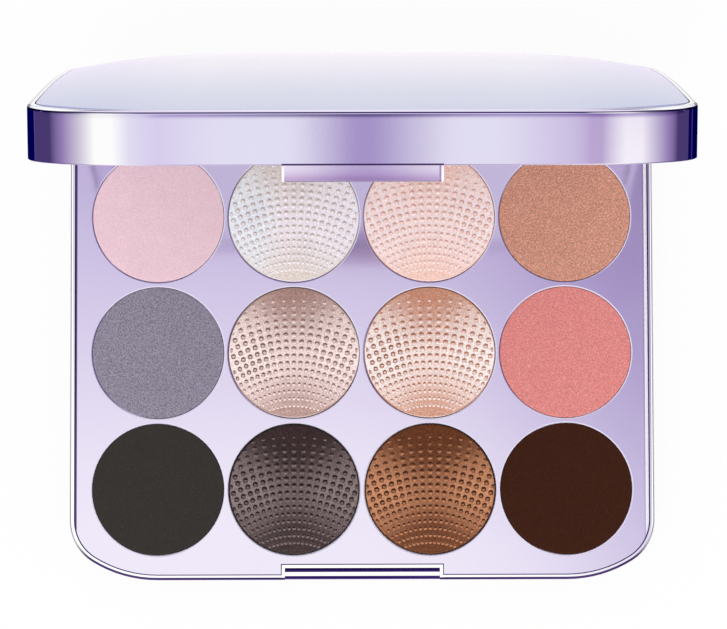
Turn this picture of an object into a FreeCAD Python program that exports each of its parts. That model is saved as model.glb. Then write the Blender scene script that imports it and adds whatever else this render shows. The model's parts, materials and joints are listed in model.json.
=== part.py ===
import FreeCAD, Part
import math
import os

# Eyeshadow palette, a hinged case with its lid standing open.
# Millimetres. Origin at the middle of the underside, +Z up, hinge at +Y.

# Pans, glue and powder
columns = 4
rows = 3
pan_diameter = 26.0
pan_height = 3.2
pan_wall = 0.22
pan_foot_radius = 0.5
pan_sink = 0.2              # pan rim below the tray's face
glue_diameter = 15.0
glue_thickness = 0.25
powder_clearance = 0.03
powder_edge_radius = 0.2
powder_crown = 1.0          # rise of the crowned powders

# Tray with its wells
well_clearance = 0.12
well_web_x = 0.76           # land between two wells of a row
well_web_y = 0.91           # land between two wells of a column
well_wall = 0.7
well_floor = 0.8
well_mouth_radius = 0.25
tray_thickness = 1.4
tray_recess = 0.7           # tray face below the rim
tray_gap = 0.2
tray_side_land = 3.28
tray_front_land = 3.68
tray_back_land = 3.8

# Base shell
rim_wall = 0.9
rim_edge_radius = 0.5
ledge_width = 1.2           # step that carries the tray's edge
floor_thickness = 1.4
under_tray = 1.45           # height of the support posts
post_diameter = 5.0
base_foot_radius = 1.5

# Corners of the case: a tight arc beside each side, a wide arc beside the front and back
corner_tight_radius = 9.5
corner_wide_radius = 24.5
corner_turn = 58.0          # angle at which the tight arc hands over to the wide one

# Hinge
hinge_radius = 2.4          # barrel radius, and depth of the axis inside the back wall
hinge_gap = 0.25
knuckle_width = 40.0        # the lid's own knuckle, between the base's two barrels
deck_land = 0.8             # base in front of the hinge's recess
pin_diameter = 1.5
pin_grip_gap = 0.01
pin_running_gap = 0.05
pin_engagement = 9.0        # length of a pin inside the lid's knuckle
pin_end_gap = 0.5
pin_end_radius = 0.2
open_angle = 77.0           # lid position in this model
widest_angle = 120.0        # lid position at its stop
swing_gap = 0.15

# Lid
parting_gap = 0.2
lid_wall = 1.4
lid_rim = 1.0               # frame around the plate
lid_edge_radius = 0.85
lid_lip_radius = 0.2
flange_width = 3.0
flange_thickness = 1.2
rib_offset = 1.0
rib_width = 1.2
lid_space = 2.7             # between the inner panel and the flange
plate_thickness = 1.5
plate_gap = 0.1
plate_crown = 5.0
plate_fullness_x = 0.8      # share of the rise that falls off with the fourth power, across the lid
plate_fullness_y = 0.4      # the same along the lid
frame_recess = 0.8          # inner panel behind the lid's edge
frame_gap = 0.15
frame_web = 1.0
mirror_drop = 0.2           # mirror behind the inner panel's face
mirror_thickness = 1.8
mirror_border = 4.5
mirror_corner_radius = 8.0
mirror_gap = 0.15
mirror_bevel = 0.4
tape_thickness = 0.3
tape_inset = 2.0

# Latch tab and the notch that takes it
tab_width = 27.6
tab_drop = 2.9
tab_thickness = 1.35
tab_setback = 0.75
tab_gap = 0.1
tab_edge_radius = 0.25
catch_gap = 0.25            # tab to the back of the notch
bead_radius = 0.2
bead_inset = 3.0
bead_rise = 0.7             # lid bead above the tab's end
ridge_drop = 1.2            # base ridge below the rim
notch_side_gap = 1.55
notch_floor_gap = 0.6
notch_wall = 0.6
notch_radius = 0.7          # rounding of the notch's floor at the front and at the back

over = 1.0                  # how far a cutter runs past the face it opens

# Plan sizes that follow
pan_radius = pan_diameter / 2
well_radius = pan_radius + well_clearance
well_diameter = 2 * well_radius
pitch_x = well_diameter + well_web_x
pitch_y = well_diameter + well_web_y
recess_radius = hinge_radius / math.cos(math.radians(widest_angle - 90)) + hinge_gap
deck_depth = hinge_radius + recess_radius + deck_land
tray_inset = rim_wall + tray_gap
front_land = tray_inset + tray_front_land
back_land = deck_depth + tray_gap + tray_back_land
case_width = (columns - 1) * pitch_x + well_diameter + 2 * (tray_inset + tray_side_land)
case_depth = front_land + (rows - 1) * pitch_y + well_diameter + back_land
front_y = -case_depth / 2
back_y = case_depth / 2
deck_y = back_y - deck_depth
notch_width = tab_width + 2 * notch_side_gap
notch_depth = tab_setback + tab_thickness + catch_gap
surround_half = notch_width / 2 + notch_wall
surround_y = front_y + notch_depth + notch_wall
knuckle_half = knuckle_width / 2
mirror_frame_inset = lid_wall + frame_gap
mirror_frame_back = back_y - hinge_radius - recess_radius - frame_gap
mirror_half_x = case_width / 2 - mirror_frame_inset - mirror_border
mirror_half_y = (mirror_frame_back - front_y - mirror_frame_inset) / 2 - mirror_border
mirror_y = (mirror_frame_back + front_y + mirror_frame_inset) / 2

# Heights of the base that follow
well_low = floor_thickness + under_tray
glue_low = well_low + well_floor
pan_low = glue_low + glue_thickness
pan_high = pan_low + pan_height
tray_high = pan_high + pan_sink
tray_low = tray_high - tray_thickness
base_height = tray_high + tray_recess
notch_low = base_height + parting_gap - tab_drop - notch_floor_gap

# Heights of the closed lid that follow
lid_low = base_height + parting_gap
frame_low = lid_low + frame_recess
mirror_low = frame_low + mirror_drop
tape_low = mirror_low + mirror_thickness
web_low = tape_low + tape_thickness
frame_high = web_low + frame_web
flange_low = frame_high + lid_space
flange_high = flange_low + flange_thickness
lid_high = flange_high + plate_thickness
tab_low = lid_low - tab_drop

# Hinge places that follow
hinge_y = back_y - hinge_radius
hinge_z = base_height
swing_height = hinge_radius * math.tan(math.radians(widest_angle / 2)) + swing_gap
pin_radius = pin_diameter / 2
pin_inner_x = knuckle_half - pin_engagement
pin_outer_x = (
    case_width / 2
    - corner_tight_radius
    - (corner_wide_radius - corner_tight_radius) * math.cos(math.radians(corner_turn))
    + math.sqrt(2 * corner_wide_radius * hinge_radius - hinge_radius**2)
    - pin_end_gap
)

vector = FreeCAD.Vector
along_x = vector(1, 0, 0)


def arc(centre_x, centre_y, radius, start, end, z):
    """Arc about a centre in a level plane, between two angles in degrees."""
    points = []
    for angle in (start, (start + end) / 2, end):
        turn = math.radians(angle)
        points.append(vector(centre_x + radius * math.cos(turn), centre_y + radius * math.sin(turn), z))
    return Part.Arc(*points).toShape()


def case_outline(inset, z):
    """Closed outline of the case at one height, drawn inside the outer wall by the inset."""
    turn = math.radians(corner_turn)
    centre_gap = corner_wide_radius - corner_tight_radius
    tight = corner_tight_radius - inset
    wide = corner_wide_radius - inset
    wide_y = case_depth / 2 - corner_wide_radius
    tight_x = case_width / 2 - corner_tight_radius
    tight_y = wide_y + centre_gap * math.sin(turn)
    wide_x = tight_x - centre_gap * math.cos(turn)
    arcs = [
        arc(tight_x, tight_y, tight, 0, corner_turn, z),
        arc(wide_x, wide_y, wide, corner_turn, 90, z),
        arc(-wide_x, wide_y, wide, 90, 180 - corner_turn, z),
        arc(-tight_x, tight_y, tight, 180 - corner_turn, 180, z),
        arc(-tight_x, -tight_y, tight, 180, 180 + corner_turn, z),
        arc(-wide_x, -wide_y, wide, 180 + corner_turn, 270, z),
        arc(wide_x, -wide_y, wide, 270, 360 - corner_turn, z),
        arc(tight_x, -tight_y, tight, 360 - corner_turn, 360, z),
    ]
    edges = []
    for index, curve in enumerate(arcs):
        edges.append(curve)
        if index % 2:
            following = arcs[(index + 1) % len(arcs)]
            start = curve.Vertexes[-1].Point
            end = following.Vertexes[0].Point
            edges.append(Part.LineSegment(start, end).toShape())
    return Part.Wire(edges)


def case_prism(inset, low, high):
    """Upright body with the outline of the case."""
    return Part.Face(case_outline(inset, low)).extrude(vector(0, 0, high - low))


def block(half_x, y_range, z_range):
    """Box centred across the case."""
    size_y = y_range[1] - y_range[0]
    size_z = z_range[1] - z_range[0]
    return Part.makeBox(2 * half_x, size_y, size_z, vector(-half_x, y_range[0], z_range[0]))


def side_block(side, x_range, y_range, z_range):
    """Box on the left (-1) or right (1) of the case."""
    size_x = x_range[1] - x_range[0]
    low_x = x_range[0] if side > 0 else -x_range[1]
    corner = vector(low_x, y_range[0], z_range[0])
    return Part.makeBox(size_x, y_range[1] - y_range[0], z_range[1] - z_range[0], corner)


def hinge_round(radius, x_range):
    """Round bar on the hinge axis."""
    start = vector(x_range[0], hinge_y, hinge_z)
    return Part.makeCylinder(radius, x_range[1] - x_range[0], start, along_x)


def side_round(side, radius, x_range):
    """Round bar on the hinge axis, on the left (-1) or right (1)."""
    if side > 0:
        return hinge_round(radius, x_range)
    return hinge_round(radius, (-x_range[1], -x_range[0]))


def level_edges(shape, z):
    """Edges that lie flat at one height."""
    found = []
    for edge in shape.Edges:
        box = edge.BoundBox
        if abs(box.ZMin - z) < 1e-6 and abs(box.ZMax - z) < 1e-6:
            found.append(edge)
    return found


def upright_edges(shape):
    """Straight edges that run up the shape."""
    found = []
    for edge in shape.Edges:
        box = edge.BoundBox
        if box.XLength < 1e-6 and box.YLength < 1e-6:
            found.append(edge)
    return found


def rounded_block(half_x, half_y, centre_y, radius, z_range):
    """Box with rounded upright corners."""
    body = block(half_x, (centre_y - half_y, centre_y + half_y), z_range)
    return body.makeFillet(radius, upright_edges(body))


def well_centres():
    """Name and middle of each well, row a at the hinge and column 1 on the left."""
    places = []
    first_x = -(columns - 1) * pitch_x / 2
    front_row_y = front_y + front_land + well_radius
    for row in range(rows):
        y = front_row_y + (rows - 1 - row) * pitch_y
        for column in range(columns):
            name = "abc"[row] + str(column + 1)
            places.append((name, column, first_x + column * pitch_x, y))
    return places


def well_round(place, radius, low, high):
    """Upright cylinder on a well's centre."""
    return Part.makeCylinder(radius, high - low, vector(place[2], place[3], low))


def base_shell():
    """Lower half of the case."""
    shell = case_prism(0, 0, base_height)
    shell = shell.makeFillet(base_foot_radius, level_edges(shell, 0))
    shell = shell.makeFillet(rim_edge_radius, level_edges(shell, base_height))
    shell = shell.cut(case_prism(rim_wall, tray_low, base_height + over))
    shell = shell.cut(case_prism(rim_wall + ledge_width, floor_thickness, base_height))

    deck = case_prism(rim_wall / 2, floor_thickness, base_height)
    deck = deck.common(block(case_width / 2, (deck_y, back_y), (0, base_height)))
    surround_range = (front_y + rim_wall / 2, surround_y)
    additions = [deck, block(surround_half, surround_range, (floor_thickness, base_height))]
    for place in well_centres():
        additions.append(well_round(place, post_diameter / 2, floor_thickness, well_low))
    envelope = case_prism(0, 0, hinge_z + hinge_radius)
    for side in (-1, 1):
        bar = side_round(side, hinge_radius, (knuckle_half + hinge_gap, case_width / 2))
        additions.append(bar.common(envelope))
    shell = shell.fuse(additions)

    recess_half = knuckle_half + hinge_gap
    cutters = [
        notch_room(),
        hinge_round(recess_radius, (-recess_half, recess_half)),
        block(recess_half, (hinge_y, back_y + over), (hinge_z - swing_height, hinge_z + hinge_radius + over)),
    ]
    for side in (-1, 1):
        cutters.append(side_round(side, pin_radius + pin_grip_gap, (knuckle_half, case_width / 2 + over)))
    shell = shell.cut(cutters)
    return shell.fuse(catch_bar(front_y + notch_depth, base_height - ridge_drop)).removeSplitter()


def notch_room():
    """Room of the notch, with a rounded lip at the front and a rounded root at the back."""
    half = notch_width / 2
    quarter = notch_radius * (1 - math.sqrt(0.5))
    back = front_y + notch_depth

    def at(y, z):
        return vector(-half, y, z)

    lip = (at(front_y, notch_low - notch_radius),
           at(front_y + quarter, notch_low - quarter),
           at(front_y + notch_radius, notch_low))
    root = (at(back - notch_radius, notch_low),
            at(back - quarter, notch_low + quarter),
            at(back, notch_low + notch_radius))
    high = base_height + over
    outline = Part.Wire([
        Part.makePolygon([at(back, high), at(front_y - over, high), at(front_y - over, lip[0].z), lip[0]]),
        Part.Arc(*lip).toShape(),
        Part.LineSegment(lip[2], root[0]).toShape(),
        Part.Arc(*root).toShape(),
        Part.LineSegment(root[2], at(back, high)).toShape(),
    ])
    return Part.Face(outline).extrude(vector(2 * half, 0, 0))


def catch_bar(y, z):
    """Low round bar along a face of the catch."""
    length = tab_width - 2 * bead_inset
    return Part.makeCylinder(bead_radius, length, vector(-length / 2, y, z), along_x)


def pan_tray():
    """Plate with a cup under each well."""
    plate = case_prism(tray_inset, tray_low, tray_high)
    plate = plate.cut(block(case_width, (deck_y - tray_gap, back_y), (0, base_height)))
    plate = plate.cut(block(surround_half + tray_gap, (front_y, surround_y + tray_gap), (0, base_height)))
    cups = []
    wells = []
    for place in well_centres():
        cups.append(well_round(place, well_radius + well_wall, well_low, tray_high))
        wells.append(well_round(place, well_radius, glue_low, tray_high + over))
    tray = plate.fuse(cups).removeSplitter().cut(wells)
    mouths = [edge for edge in level_edges(tray, tray_high) if edge.isClosed()]
    return tray.makeFillet(min(well_mouth_radius, well_web_x / 3), mouths)


def pan(place):
    """Shallow tin cup."""
    outer = well_round(place, pan_radius, pan_low, pan_high)
    outer = outer.makeFillet(pan_foot_radius, level_edges(outer, pan_low))
    inner = well_round(place, pan_radius - pan_wall, pan_low + pan_wall, pan_high + over)
    inner = inner.makeFillet(pan_foot_radius - pan_wall, level_edges(inner, pan_low + pan_wall))
    return outer.cut(inner)


def powder(place):
    """Pressed powder that fills a pan, flat in the outer columns and crowned between them."""
    radius = pan_radius - pan_wall - powder_clearance
    low = pan_low + pan_wall
    crowned = 0 < place[1] < columns - 1
    high = pan_high + powder_crown if crowned else pan_high
    cake = well_round(place, radius, low, high)
    cake = cake.makeFillet(pan_foot_radius, level_edges(cake, low))
    if crowned:
        dome_radius = (radius**2 + powder_crown**2) / (2 * powder_crown)
        return cake.common(Part.makeSphere(dome_radius, vector(place[2], place[3], high - dome_radius)))
    return cake.makeFillet(powder_edge_radius, level_edges(cake, pan_high))


def pan_glue():
    """One pad of glue under each pan."""
    return Part.Compound([well_round(place, glue_diameter / 2, glue_low, pan_low) for place in well_centres()])


def hinge_pin(side):
    """Steel pin, gripped by a barrel of the base and running in the lid's knuckle."""
    pin = side_round(side, pin_radius, (pin_inner_x, pin_outer_x))
    ends = [edge for edge in pin.Edges if edge.isClosed()]
    return pin.makeFillet(pin_end_radius, ends)


def lid_frame():
    """Frame of the lid, in its closed place."""
    frame = case_prism(0, lid_low, lid_high)
    frame = frame.makeFillet(lid_edge_radius, level_edges(frame, lid_high))
    frame = frame.makeFillet(lid_lip_radius, level_edges(frame, lid_low))
    frame = frame.cut(case_prism(lid_wall, lid_low - over, flange_low))
    frame = frame.cut(case_prism(lid_wall + flange_width, lid_low, lid_high))
    frame = frame.cut(case_prism(lid_rim, flange_high, lid_high + over))

    rib = case_prism(lid_wall + rib_offset, frame_high, flange_high)
    rib = rib.cut(case_prism(lid_wall + rib_offset + rib_width, frame_high - over, flange_high + over))
    barrel = hinge_round(hinge_radius, (-knuckle_half, knuckle_half))
    neck = block(knuckle_half, (back_y - 2 * hinge_radius, back_y - lid_wall / 2), (hinge_z, flange_high))
    frame = frame.fuse([rib, barrel, neck])

    swing_range = (lid_low - over, hinge_z + swing_height)
    outer_range = (knuckle_half, case_width / 2 + over)
    cutters = [
        block(tab_width / 2 + tab_gap, (front_y + tab_setback - tab_gap / 2, front_y + lid_wall + tab_gap),
              (lid_low - over, flange_low)),
    ]
    for side in (-1, 1):
        cutters.append(side_round(side, recess_radius, outer_range))
        cutters.append(side_block(side, outer_range, (hinge_y, back_y + over), swing_range))
        bore_range = (pin_inner_x - pin_end_gap, knuckle_half + over)
        cutters.append(side_round(side, pin_radius + pin_running_gap, bore_range))
    return frame.cut(cutters).removeSplitter()


def crown_poles(fullness):
    """Pole heights of the curve 1 - (1 - fullness) u^2 - fullness u^4 from edge to edge."""
    return (0, 1 + fullness, 4 * (1 - fullness) / 3, 1 + fullness, 0)


def lid_plate():
    """Crowned plate set into the frame. Its rise falls off with the second and fourth power to each side."""
    inset = lid_rim + plate_gap
    half_x = case_width / 2 - inset
    half_y = case_depth / 2 - inset
    rise_x = crown_poles(plate_fullness_x)
    rise_y = crown_poles(plate_fullness_y)
    patch = Part.BezierSurface()
    patch.increase(4, 4)
    for i in range(5):
        for j in range(5):
            z = lid_high + plate_crown * rise_x[i] * rise_y[j]
            patch.setPole(i + 1, j + 1, vector((i / 2 - 1) * half_x, (j / 2 - 1) * half_y, z))
    shell = patch.toShape().extrude(vector(0, 0, -plate_thickness))
    return shell.common(case_prism(inset, lid_low, lid_high + plate_crown + over))


def mirror_frame():
    """Inner panel of the lid, with the pocket for the mirror."""
    panel = case_prism(mirror_frame_inset, frame_low, frame_high)
    z_range = (frame_low - over, frame_high + over)
    tab_range = (front_y, front_y + tab_setback + tab_thickness + frame_gap)
    return panel.cut([
        block(case_width, (mirror_frame_back, back_y), z_range),
        block(tab_width / 2 + frame_gap, tab_range, z_range),
        rounded_block(mirror_half_x + mirror_gap, mirror_half_y + mirror_gap, mirror_y,
                      mirror_corner_radius + mirror_gap, (frame_low - over, web_low)),
    ])


def mirror():
    """Mirror glass with a bevelled face."""
    z_range = (mirror_low, tape_low)
    glass = rounded_block(mirror_half_x, mirror_half_y, mirror_y, mirror_corner_radius, z_range)
    return glass.makeChamfer(mirror_bevel, level_edges(glass, mirror_low))


def mirror_tape():
    """Tape between the mirror and the inner panel."""
    radius = mirror_corner_radius - tape_inset
    half_x = mirror_half_x - tape_inset
    half_y = mirror_half_y - tape_inset
    return rounded_block(half_x, half_y, mirror_y, radius, (tape_low, web_low))


def latch_tab():
    """Tab behind the front wall of the lid, with the bead that snaps under the base's ridge."""
    y_range = (front_y + tab_setback, front_y + tab_setback + tab_thickness)
    tab = block(tab_width / 2, y_range, (tab_low, flange_low - tab_gap))
    tab = tab.makeFillet(tab_edge_radius, level_edges(tab, tab_low))
    return tab.fuse(catch_bar(y_range[1], tab_low + bead_rise))


def opened(shape):
    """Turn a piece of the lid from its closed place to its open one."""
    turned = shape.copy()
    turned.rotate(vector(0, hinge_y, hinge_z), vector(-1, 0, 0), open_angle)
    return turned


def build():
    """Every piece by name, in its place."""
    pieces = {"base_shell": base_shell(), "pan_tray": pan_tray(), "pan_glue": pan_glue()}
    for place in well_centres():
        pieces["pan_" + place[0]] = pan(place)
        pieces["powder_" + place[0]] = powder(place)
    pieces["hinge_pin_left"] = hinge_pin(-1)
    pieces["hinge_pin_right"] = hinge_pin(1)
    for maker in (lid_frame, lid_plate, latch_tab, mirror_frame, mirror, mirror_tape):
        pieces[maker.__name__] = opened(maker())
    return pieces


os.makedirs("parts", exist_ok=True)
for name, shape in build().items():
    print(name, shape.ShapeType, len(shape.Solids), "solids", round(shape.Volume, 2), "mm3", shape.isValid())
    shape.exportStep("parts/" + name + ".step")
print("case", round(case_width, 2), "x", round(case_depth, 2), "x", round(base_height, 2))
print("hinge axis at y", round(hinge_y, 3), "z", round(hinge_z, 3))
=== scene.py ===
import json
import math

import bpy
import numpy as np
from mathutils import Matrix, Vector


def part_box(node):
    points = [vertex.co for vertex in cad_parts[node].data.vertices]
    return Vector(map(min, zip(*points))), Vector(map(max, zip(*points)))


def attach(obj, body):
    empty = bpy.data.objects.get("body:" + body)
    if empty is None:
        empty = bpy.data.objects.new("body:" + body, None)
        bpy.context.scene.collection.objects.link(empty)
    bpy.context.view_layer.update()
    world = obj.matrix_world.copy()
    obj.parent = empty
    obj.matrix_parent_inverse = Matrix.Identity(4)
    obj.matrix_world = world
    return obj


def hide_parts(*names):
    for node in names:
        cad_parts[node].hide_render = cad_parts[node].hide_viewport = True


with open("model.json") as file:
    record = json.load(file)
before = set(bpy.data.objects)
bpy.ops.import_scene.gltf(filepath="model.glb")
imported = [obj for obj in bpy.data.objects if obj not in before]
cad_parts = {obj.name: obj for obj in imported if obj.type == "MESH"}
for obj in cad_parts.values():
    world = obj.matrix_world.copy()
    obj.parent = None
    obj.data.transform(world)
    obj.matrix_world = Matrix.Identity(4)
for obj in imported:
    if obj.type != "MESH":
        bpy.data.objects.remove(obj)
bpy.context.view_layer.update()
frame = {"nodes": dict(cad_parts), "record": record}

nodes = frame["nodes"]
mm = 0.001
print("frame loaded:", len(nodes), "nodes")

scene = bpy.context.scene
scene.view_settings.view_transform = "Standard"


def addObject(name, data):
    piece = bpy.data.objects.new(name, data)
    scene.collection.objects.link(piece)
    return piece


# camera, fitted to the wells, the lid and the front edge of the case
photoCamera = {
    "place": (-1.68 * mm, -32.65 * mm, 620.5 * mm),
    "tiltDeg": 3.5,                      # how far it looks back from straight down
    "rollDeg": -0.14,
    "panDeg": 0.19,
    "focalPixels": 3085.0,
    "imageWide": 727,
    "sensorMm": 36.0,
}


def makeCamera(s):
    tilt, roll, pan = (math.radians(s[k]) for k in ("tiltDeg", "rollDeg", "panDeg"))
    forward = Vector((pan, math.sin(tilt), -math.cos(tilt))).normalized()
    right = Vector((1.0, 0.0, 0.0))
    right = (right - forward * right.dot(forward)).normalized()
    up = right.cross(forward)
    rightRolled = right * math.cos(roll) + up * math.sin(roll)
    upRolled = up * math.cos(roll) - right * math.sin(roll)
    data = bpy.data.cameras.new("photoCamera")
    data.sensor_fit = "HORIZONTAL"
    data.sensor_width = s["sensorMm"]
    data.lens = s["focalPixels"] * s["sensorMm"] / s["imageWide"]
    data.clip_start = 0.01
    data.clip_end = 20.0
    camera = addObject("photoCamera", data)
    turn = Matrix((rightRolled, upRolled, -forward)).transposed().to_4x4()
    camera.matrix_world = Matrix.Translation(Vector(s["place"])) @ turn
    scene.camera = camera


makeCamera(photoCamera)
print("camera placed")


# small helpers for shader nodes: each takes sockets or plain numbers and gives back a socket
def feed(tree, socket, value):
    if isinstance(value, bpy.types.NodeSocket):
        tree.links.new(value, socket)
    elif value is not None:
        socket.default_value = value


def feedAll(tree, node, **values):
    # inputs by their labels, with underscores for spaces
    for label, value in values.items():
        feed(tree, node.inputs[label.replace("_", " ")], value)


def mathNode(tree, operation, *values, clamp=False):
    node = tree.nodes.new("ShaderNodeMath")
    node.operation = operation
    node.use_clamp = clamp
    for socket, value in zip(node.inputs, values):
        feed(tree, socket, value)
    return node.outputs[0]


def times(tree, value, *others):
    for other in others:
        value = mathNode(tree, "MULTIPLY", value, other)
    return value


def most(tree, value, *others):
    for other in others:
        value = mathNode(tree, "MAXIMUM", value, other)
    return value


def isAbove(tree, value, limit):
    return mathNode(tree, "GREATER_THAN", value, limit)


def isBelow(tree, value, limit):
    return mathNode(tree, "LESS_THAN", value, limit)


def remainder(tree, share):
    return mathNode(tree, "SUBTRACT", 1.0, share)


def rangeNode(tree, value, low, high, toLow=0.0, toHigh=1.0, kind="LINEAR"):
    node = tree.nodes.new("ShaderNodeMapRange")
    node.interpolation_type = kind
    for socket, number in zip(node.inputs, (value, low, high, toLow, toHigh)):
        feed(tree, socket, number)
    return node.outputs[0]


def easeNode(tree, value, low, high, toLow=0.0, toHigh=1.0):
    return rangeNode(tree, value, low, high, toLow, toHigh, "SMOOTHSTEP")


def rampNode(tree, factor, stops):
    node = tree.nodes.new("ShaderNodeValToRGB")
    ramp = node.color_ramp
    ramp.interpolation = "LINEAR"
    while len(ramp.elements) < len(stops):
        ramp.elements.new(1.0)
    for element, (place, colour) in zip(ramp.elements, stops):
        element.position = place
        element.color = (*colour, 1.0)
    feed(tree, node.inputs[0], factor)
    return node.outputs[0]


def bandNode(tree, value, stops, unit=1.0):
    # a ramp whose stops are places on the value's own scale
    low, high = stops[0][0], stops[-1][0]
    share = rangeNode(tree, value, low * unit, high * unit)
    return rampNode(tree, share, [((place - low) / (high - low), colour) for place, colour in stops])


def mixNode(tree, factor, first, second, blend="MIX"):
    node = tree.nodes.new("ShaderNodeMix")
    node.data_type = "RGBA"
    node.blend_type = blend
    feed(tree, node.inputs[0], factor)
    for socket, value in ((node.inputs[6], first), (node.inputs[7], second)):
        feed(tree, socket, (*value, 1.0) if isinstance(value, tuple) else value)
    return node.outputs[2]


def paintOver(tree, colour, *coats):
    # coats of paint over each other, each with the mask that shows it
    for mask, paint in coats:
        colour = mixNode(tree, mask, colour, paint)
    return colour


def splitNode(tree, vector):
    node = tree.nodes.new("ShaderNodeSeparateXYZ")
    tree.links.new(vector, node.inputs[0])
    return node.outputs


def dotNode(tree, vector, other):
    node = tree.nodes.new("ShaderNodeVectorMath")
    node.operation = "DOT_PRODUCT"
    feed(tree, node.inputs[0], vector)
    feed(tree, node.inputs[1], other)
    return node.outputs["Value"]


def hypotNode(tree, first, second):
    squares = [mathNode(tree, "POWER", value, 2.0) for value in (first, second)]
    return mathNode(tree, "SQRT", mathNode(tree, "ADD", *squares))


def noiseNode(tree, scale, detail=2.0, vector=None, roughness=0.5):
    node = tree.nodes.new("ShaderNodeTexNoise")
    feedAll(tree, node, Scale=scale, Detail=detail, Roughness=roughness, Vector=vector)
    return node.outputs["Fac"]


def objectPlace(tree):
    return tree.nodes.new("ShaderNodeTexCoord").outputs["Object"]


def objectNormal(tree):
    return tree.nodes.new("ShaderNodeTexCoord").outputs["Normal"]


# studio: a white floor, a soft lamp, and a world that is plain for matt surfaces and shows the
# softboxes, the dark gap between them and the white backdrop to polished ones
studio = {
    "floorSize": 4.0,
    "floorWhite": 0.86,
    "floorGlow": 0.92,                   # share of the floor that stays white in shadow
    "plainLight": 0.98,
    "lampPower": 4.6,
    "lampSize": 0.9,
    "lampPlace": (-0.35, -0.75, 1.1),
    # slopes of the reflected ray along x or y, over which one part of the studio gives way to another
    "sideReach": 0.25,                   # slope at which the side ramps are at their middle
    "sideRange": (0.095, 0.15),
    "backRange": (0.15, 0.35),
    "rightLean": 13.0,                   # how fast the ceiling darkens to the right
    "leanLimit": 0.14,
    "leanRange": (0.0, 0.06),
    "leanShare": (0.80, 1.1),
    "frontWiden": 0.22,
    "frontStart": (-0.52, -0.42),
    "frontEnd": (-0.12, -0.05),
    "dipRange": (-0.345, -0.23),
    "dipSide": (-0.11, -0.04),
    "dipShare": (0.2, 1.0),
    "dipTone": (0.50, 0.43, 0.66),       # the front softbox along its upper edge
    "slitSide": (0.015, 0.05),
    "slitTone": (0.32, 0.28, 0.42),
    # dark cards on the table, by side: near edge, far edge and colour
    "cards": {
        -1: ((0.082, 0.250, (0.0, 0.0, 0.09)), (0.250, 0.264, (0.20, 0.17, 0.36)),
             (0.264, 2.4, (0.08, 0.055, 0.175))),
        1: ((0.082, 0.193, (0.0, 0.0, 0.07)), (0.193, 0.220, (0.05, 0.045, 0.22)),
            (0.220, 0.350, (0.005, 0.0, 0.08)), (0.350, 2.4, (0.08, 0.055, 0.175))),
    },
    "cardLength": 2.4,
}
# tones that polished surfaces find in the studio
tones = {
    "navy": (0.02, 0.015, 0.11),
    "dusk": (0.08, 0.055, 0.175),        # the horizon
    "plum": (0.38, 0.29, 0.51),
    "gap": (0.46, 0.38, 0.62),           # the slit between the softboxes
    "violet": (0.62, 0.52, 0.70),
    "lilac": (0.80, 0.76, 0.87),
    "shade": (0.85, 0.83, 0.93),
    "soft": (0.95, 0.98, 0.97),          # the front softbox
    "white": (1.00, 1.00, 1.00),
    "warm": (1.16, 1.19, 1.06),
    "bright": (1.14, 1.16, 1.07),
    "hot": (1.25, 1.34, 1.08),           # the left softbox
}
# slope along y of the reflected ray, front to back, with the tone found there
ceilingStops = (
    (-1.50, "dusk"), (-1.05, "dusk"), (-0.80, "violet"), (-0.55, "lilac"), (-0.10, "lilac"),
    (-0.04, "bright"), (0.0, "bright"), (0.07, "lilac"), (0.15, "gap"), (0.20, "plum"),
    (0.33, "navy"), (0.95, "navy"), (1.15, "white"), (1.50, "white"),
)
# share of the way to the side, 0 overhead and 1 at the horizon
leftStops = (
    (0.0, "gap"), (0.075, "soft"), (0.16, "soft"), (0.22, "shade"), (0.40, "soft"),
    (0.57, "hot"), (0.70, "hot"), (0.865, "plum"), (0.925, "dusk"), (1.0, "dusk"),
)
rightStops = (
    (0.0, "gap"), (0.03, "gap"), (0.12, "soft"), (0.17, "soft"), (0.22, "lilac"), (0.37, "violet"),
    (0.46, "violet"), (0.67, "warm"), (0.77, "warm"), (0.89, "plum"), (0.945, "dusk"), (1.0, "dusk"),
)


def toned(stops):
    return [(place, tones[tone]) for place, tone in stops]


def background(tree, colour, strength=1.0):
    node = tree.nodes.new("ShaderNodeBackground")
    feed(tree, node.inputs["Color"], (*colour, 1.0) if isinstance(colour, tuple) else colour)
    node.inputs["Strength"].default_value = strength
    return node.outputs[0]


def shaderMix(tree, factor, first, second):
    node = tree.nodes.new("ShaderNodeMixShader")
    for socket, value in zip(node.inputs, (factor, first, second)):
        feed(tree, socket, value)
    return node.outputs[0]


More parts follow.
